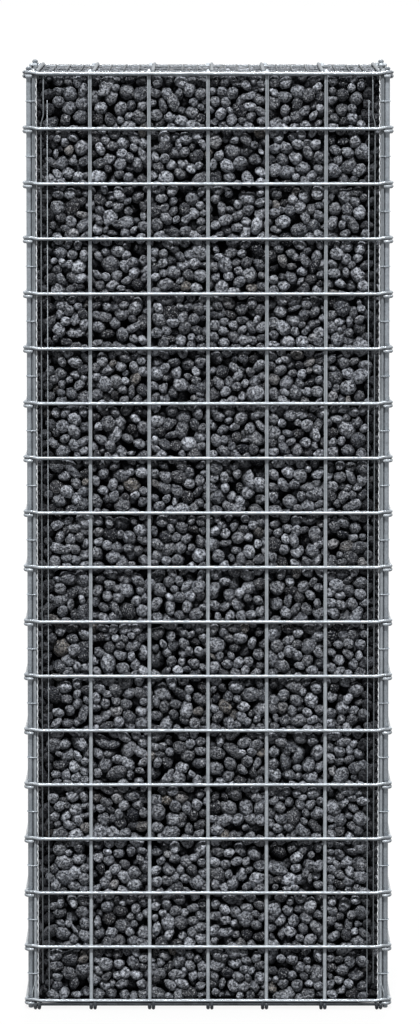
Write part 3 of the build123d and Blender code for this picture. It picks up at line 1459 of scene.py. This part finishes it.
    @staticmethod
    def neighbours(points: Array, reach: float) -> tuple[Array, Array]:
        """Finds all pairs of points closer than a distance.

        The points are sorted into cubes as wide as the distance, and each cube is compared with
        itself and with half of the cubes round it, so that no pair is found twice.

        Args:
            points: the points.
            reach: the distance.

        Returns:
            The numbers of the first and of the second point of each pair.
        """
        cell = np.floor((points - points.min(axis=0)) / reach).astype(np.int64) + 1
        span = cell.max(axis=0) + 2
        key = (cell[:, 0] * span[1] + cell[:, 1]) * span[2] + cell[:, 2]
        order = np.argsort(key, kind="stable")
        ranked = key[order]
        beside = (-1, 0, 1)
        steps = [(x, y, z) for x in beside for y in beside for z in beside
                 if (x, y, z) >= (0, 0, 0)]
        firsts, seconds = [], []
        for x, y, z in steps:
            wanted = key + (x * span[1] + y) * span[2] + z
            start = np.searchsorted(ranked, wanted, "left")
            count = np.searchsorted(ranked, wanted, "right") - start
            first = np.repeat(np.arange(len(points)), count)
            offset = np.arange(len(first)) - np.repeat(np.cumsum(count) - count, count)
            second = order[np.repeat(start, count) + offset]
            keep = first < second if (x, y, z) == (0, 0, 0) else first != second
            firsts.append(first[keep])
            seconds.append(second[keep])
        first, second = np.concatenate(firsts), np.concatenate(seconds)
        near = np.linalg.norm(points[first] - points[second], axis=1) < reach
        return first[near], second[near]

    def outward(self, points: Array) -> Array:
        """Gives each point's direction to the nearest side of the box.

        Args:
            points: the points.

        Returns:
            The directions, each along one axis.
        """
        low, high = self.box
        inside = np.stack([points - low, high - points])
        nearest = inside.reshape(2, -1, 3).min(axis=0).argmin(axis=1)
        rows, outward = np.arange(len(points)), np.zeros_like(points)
        is_low = inside[0][rows, nearest] < inside[1][rows, nearest]
        outward[rows, nearest] = np.where(is_low, -1.0, 1.0)
        return outward

    def pack(self, points: Array, radii: Array) -> Array:
        """Pushes overlapping stones apart until they only touch, and presses them outwards.

        Args:
            points: the middles.
            radii: the radii.

        Returns:
            The settled middles.
        """
        low, high = self.box
        reach = float(radii.max()) * 2.0 * self.near_by
        for step in range(self.rounds):
            if step % self.refresh == 0:
                first, second = self.neighbours(points, reach)
            gap = points[second] - points[first]
            distance = np.linalg.norm(gap, axis=1) + 1e-9
            push = np.maximum(radii[first] + radii[second] - distance, 0.0) * self.push
            move = gap / distance[:, None] * push[:, None]
            shift = np.stack([np.bincount(second, move[:, axis], len(points))
                              - np.bincount(first, move[:, axis], len(points))
                              for axis in range(3)], axis=1)
            points = points + np.clip(shift, -self.stride, self.stride)
            points = points + self.outward(points) * self.press
            points = self.off_bars(points, radii)
            points = np.clip(points, low + radii[:, None], high - radii[:, None])
            points = self.off_corners(points, radii)
        return points

    def stones(self, points: Array, radii: Array, random: np.random.Generator,
               fine: bool) -> Surface:
        """Makes the stones with these middles and radii, and their tones.

        Args:
            points: the middles.
            radii: the radii.
            random: source of random numbers.
            fine: whether to use 60 faces for each stone, or else 20.

        Returns:
            All the stones, with the tones pale and warm and the tone of painted shade.
        """
        forms, form = self.forms, pebble_shape(fine)
        count, size = len(points), len(form.points)
        (low, high), top = self.box, self.shell / 2
        shape = forms.bodies(form.points, count, random)
        shape = shape * (radii * forms.swell)[:, None, None] + points[:, None]
        shape = self.trimmed(shape.reshape(-1, 3))
        shift = (np.arange(count) * size)[:, None, None]
        stones = Surface(shape, triangles=(form.triangles + shift).reshape(-1, 3))
        pale, warm = forms.colours(count, random)
        # Painted shade: stones just below the lid are drawn less pale.
        pale *= np.where(points[:, 2] > high[2] - top, forms.shade_below_lid, 1.0)
        # Painted shade: the stones in the upright corners and the inmost points of every stone are
        # darkened.
        room = (high - low)[:2] / 2.0 - np.abs(points[:, :2] - (low + high)[:2] / 2.0)
        beyond = room.sum(axis=1) - self.corner_cut - radii * forms.corner_start
        corner = forms.corner_shade * np.clip(1.0 - beyond / forms.corner_fade, 0.0, 1.0)
        start, end = forms.shade_depths
        inner = forms.inner_shade * np.clip((self.depth(shape) - start) / (end - start), 0.0, 1.0)
        return (stones.toned("pale", np.repeat(pale, size)).toned("warm", np.repeat(warm, size))
                .toned("painted_shade", np.maximum(np.repeat(corner, size), inner)))

    def core(self) -> Surface:
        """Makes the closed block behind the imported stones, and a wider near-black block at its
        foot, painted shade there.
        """
        low, high = self.box
        corner = np.array([[x, y, z] for x in (0, 1) for y in (0, 1) for z in (0, 1)])
        quads = np.array([[0, 1, 3, 2], [4, 6, 7, 5], [0, 4, 5, 1], [2, 3, 7, 6],
                          [0, 2, 6, 4], [1, 5, 7, 3]])
        side = self.shell * self.core_share
        inset = np.array([side, side, self.core_top])
        # Painted shade: a wider near-black block at the foot.
        shade_block_high = high - self.shade_block_inset
        shade_block_high[2] = low[2] + self.shade_block_top
        blocks = ((low + inset, high - inset), (low + self.shade_block_inset, shade_block_high))
        return Surface.joined([Surface(first + corner * (last - first), quads)
                               for first, last in blocks])

    def build(self, finish: bpy.types.Material, core_finish: bpy.types.Material) -> None:
        """Builds the stones lift by lift, and the core behind them.

        Args:
            finish: the finish of the stones.
            core_finish: the finish of the core.
        """
        random = np.random.default_rng(self.seed)
        points, radii = self.draw(random)
        points = self.pack(points, radii)
        low, high = self.box
        heights = np.linspace(low[2], high[2], self.lifts + 1)
        deep = self.depth(points) > self.plain_depth
        for number in range(self.lifts):
            inside = (points[:, 2] >= heights[number]) & (points[:, 2] < heights[number + 1])
            surface = Surface.joined([self.stones(points[part], radii[part], random, fine)
                                      for part, fine in ((inside & ~deep, True),
                                                         (inside & deep, False))])
            piece = surface.piece(f"stones_{number + 1}", finish, "stone")
            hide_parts(f"stone_lift_{number + 1}")
        LOG.info("stones: %d", len(points))
        self.core().piece("fill_core", core_finish, "stone")


# Studio


@dataclass(frozen=True)
class Lamp:
    """One soft rectangular lamp that faces the middle of the wall."""

    name: str
    place: tuple[float, float, float]
    size: Span
    power: float
    aim: tuple[float, float, float] = (0.0, 0.0, 0.8)

    def build(self) -> None:
        """Adds the lamp."""
        data = bpy.data.lights.new(self.name, "AREA")
        data.shape = "RECTANGLE"
        data.size, data.size_y = self.size
        data.energy = self.power
        lamp = bpy.data.objects.new(self.name, data)
        lamp.location = self.place
        east, north, up = (float(part) for part in unit(np.subtract(self.aim, self.place)))
        lamp.rotation_euler = (math.acos(-up), 0.0, math.atan2(-east, north))
        bpy.context.scene.collection.objects.link(lamp)


@dataclass(frozen=True)
class Studio:
    """A pale floor, soft lamps and the camera.

    Attributes:
        distance: how far the camera stands before the wall, and above_lid how high over it.
        pitch: how far it looks down.
        lens: its focal length.
        shift: its shift sideways and up.
        floor_reach: half width of the floor.
        floor_tones: how light the floor is to the wall, and to the camera.
        floor_roughness: its roughness.
        glow: strength of the white that the camera sees in it.
        glow_range: distances from the wall between which that white grows, and its shares.
        under: how far inside the wall's box the floor's glow ends, and under_range the fade
            there, as shares of that place.
        sky: strength of the sky's light on the wall, and to the camera.
        lamps: the lamps.
    """

    distance: float = 8.0
    above_lid: float = 0.33
    pitch: float = math.radians(3.969)
    lens: float = 166.68
    shift: Span = (0.00191, -0.305)
    floor_reach: float = 60.0
    floor_tones: Span = (0.12, 0.36)
    floor_roughness: float = 0.9
    glow: float = 1.06
    glow_range: tuple[Span, Span] = ((0.8, 4.0), (0.86, 1.0))
    under: float = 0.045
    under_range: Span = (0.96, 1.04)
    sky: Span = (0.07, 1.0)
    lamps: tuple[Lamp, ...] = (
        Lamp("key", (-0.8, -10.0, 16.6), (3.6, 1.2), 5000.0),
        Lamp("back", (0.8, 10.0, 16.6), (3.6, 1.2), 3500.0),
        Lamp("left", (-5.0, 0.8, 4.6), (1.6, 1.2), 150.0),
        Lamp("right", (5.0, 0.8, 4.6), (1.6, 1.2), 150.0))

    def camera(self) -> None:
        """Sets the camera a little above the lid, looking down, with its view shifted down."""
        low, high = (np.array(corner) for corner in CAD_BOX)
        data = bpy.data.cameras.new("camera")
        data.lens = self.lens
        data.shift_x, data.shift_y = self.shift
        view = bpy.data.objects.new("camera", data)
        view.location = (0.0, low[1] - self.distance, high[2] + self.above_lid)
        view.rotation_euler = (math.pi / 2 - self.pitch, 0.0, 0.0)
        bpy.context.scene.collection.objects.link(view)
        bpy.context.scene.camera = view

    @staticmethod
    def seen(board: NodeBoard) -> Socket:
        """Gives one for camera, glossy and transmission rays.

        Args:
            board: the nodes to add to.

        Returns:
            The value.
        """
        path = board.add("ShaderNodeLightPath")
        total = path.outputs["Is Camera Ray"]
        for name in ("Is Glossy Ray", "Is Transmission Ray"):
            total = board.paired(Pair.LARGER, total, path.outputs[name])
        return total

    def beside_wall(self, board: NodeBoard) -> Socket:
        """Gives one beside the wall's foot and nothing under it, where only shadow is left.

        Args:
            board: the nodes to add to.

        Returns:
            The value.
        """
        half = (CAD_BOX[1][0] - self.under, CAD_BOX[1][1] - self.under, 1.0)
        folded = board.add("ShaderNodeVectorMath", {0: board.place}, operation="ABSOLUTE")
        share = board.add("ShaderNodeVectorMath", {0: folded.outputs[0], 1: half},
                          operation="DIVIDE")
        sides = board.add("ShaderNodeSeparateXYZ", {0: share.outputs[0]}).outputs
        return board.spread(board.paired(Pair.LARGER, sides[0], sides[1]), self.under_range)

    def floor(self) -> None:
        """Adds a wide white floor that keeps the wall's shadow."""
        reach = self.floor_reach
        corners = [(-reach, -reach, 0), (reach, -reach, 0), (reach, reach, 0), (-reach, reach, 0)]
        mesh = bpy.data.meshes.new("floor")
        mesh.from_pydata(corners, [], [(0, 1, 2, 3)])
        floor = bpy.data.objects.new("floor", mesh)
        bpy.context.scene.collection.objects.link(floor)
        board = NodeBoard(bpy.data.materials.new("floor"))
        seen = self.seen(board)
        away = board.add("ShaderNodeVectorMath", {0: board.place}, operation="LENGTH")
        share = board.spread(away.outputs["Value"], *self.glow_range)
        share = board.paired(Pair.PRODUCT, seen, share)
        share = board.paired(Pair.PRODUCT, share, self.beside_wall(board))
        tones = ((tone, tone, tone) for tone in self.floor_tones)
        board.feed(board.shader, {"Base Color": board.blend(seen, *tones),
                                  "Roughness": self.floor_roughness})
        glow = board.add("ShaderNodeEmission", {"Strength": self.glow})
        mix = board.add("ShaderNodeMixShader", {0: share, 1: board.shader.outputs[0],
                                                2: glow.outputs[0]})
        board.feed(board.tree.nodes["Material Output"], {"Surface": mix.outputs[0]})
        mesh.materials.append(board.owner)

    def world(self) -> None:
        """Lights the wall evenly from a pale sky, which the camera and the metal see as white."""
        world = bpy.data.worlds.new("studio")
        bpy.context.scene.world = world
        board = NodeBoard(world)
        mix = board.add("ShaderNodeMix", {0: self.seen(board), 2: self.sky[0], 3: self.sky[1]},
                        data_type="FLOAT")
        board.feed(board.tree.nodes["Background"], {"Strength": mix.outputs[0],
                                                    "Color": (1.0, 1.0, 1.0, 1.0)})

    def build(self) -> None:
        """Sets up the whole studio."""
        self.camera()
        self.floor()
        self.world()
        for lamp in self.lamps:
            lamp.build()
        bpy.context.scene.view_settings.view_transform = "Standard"


def main() -> None:
    """Builds the wall and the studio."""
    logging.basicConfig(level=logging.INFO, format="%(name)s: %(message)s")
    Studio().build()
    cage = Cage()
    wire = GalvanisedFinish("galvanised_wire", (0.305, 0.333, 0.362), (0.415, 0.45, 0.482),
                            (0.16, 0.26)).make()
    rod = GalvanisedFinish("galvanised_rod", (0.305, 0.34, 0.375), (0.42, 0.46, 0.50),
                           (0.25, 0.35)).make()
    # Near-black finish of the base panel and the foot rods: painted shade at the foot of the wall.
    darkened = GalvanisedFinish("weathered_wire", (0.03, 0.0333, 0.0367), (0.068, 0.075, 0.083),
                            (0.45, 0.6), metallic=0.0, specular=0.15).make()
    lid = GalvanisedFinish("lid_wire", (0.078, 0.086, 0.094), (0.134, 0.145, 0.157),
                           (0.4, 0.5), metallic=0.0, specular=0.15).make()
    shiny = GalvanisedFinish("shiny_wire", (0.62, 0.65, 0.69), (0.78, 0.81, 0.85),
                             (0.2, 0.3)).make()
    walls = {"front_panel": (0.0, 1.0, 0.0), "back_panel": (0.0, -1.0, 0.0),
             "left_panel": (1.0, 0.0, 0.0), "right_panel": (-1.0, 0.0, 0.0)}
    for name, inward in walls.items():
        WallPanel(name, inward, cage).build(wire)
    FlatPanel("base_panel", cage, 1).build(darkened)
    FlatPanel("lid_panel", cage, -1).build(lid)
    Rods(cage).build(rod, darkened)
    for side in ENDS:
        EdgeWires(cage, side).build(wire, rod, shiny)
    StoneFill(cage).build(StoneFinish().make(), CoreFinish().make())


if __name__ == "__main__":
    main()
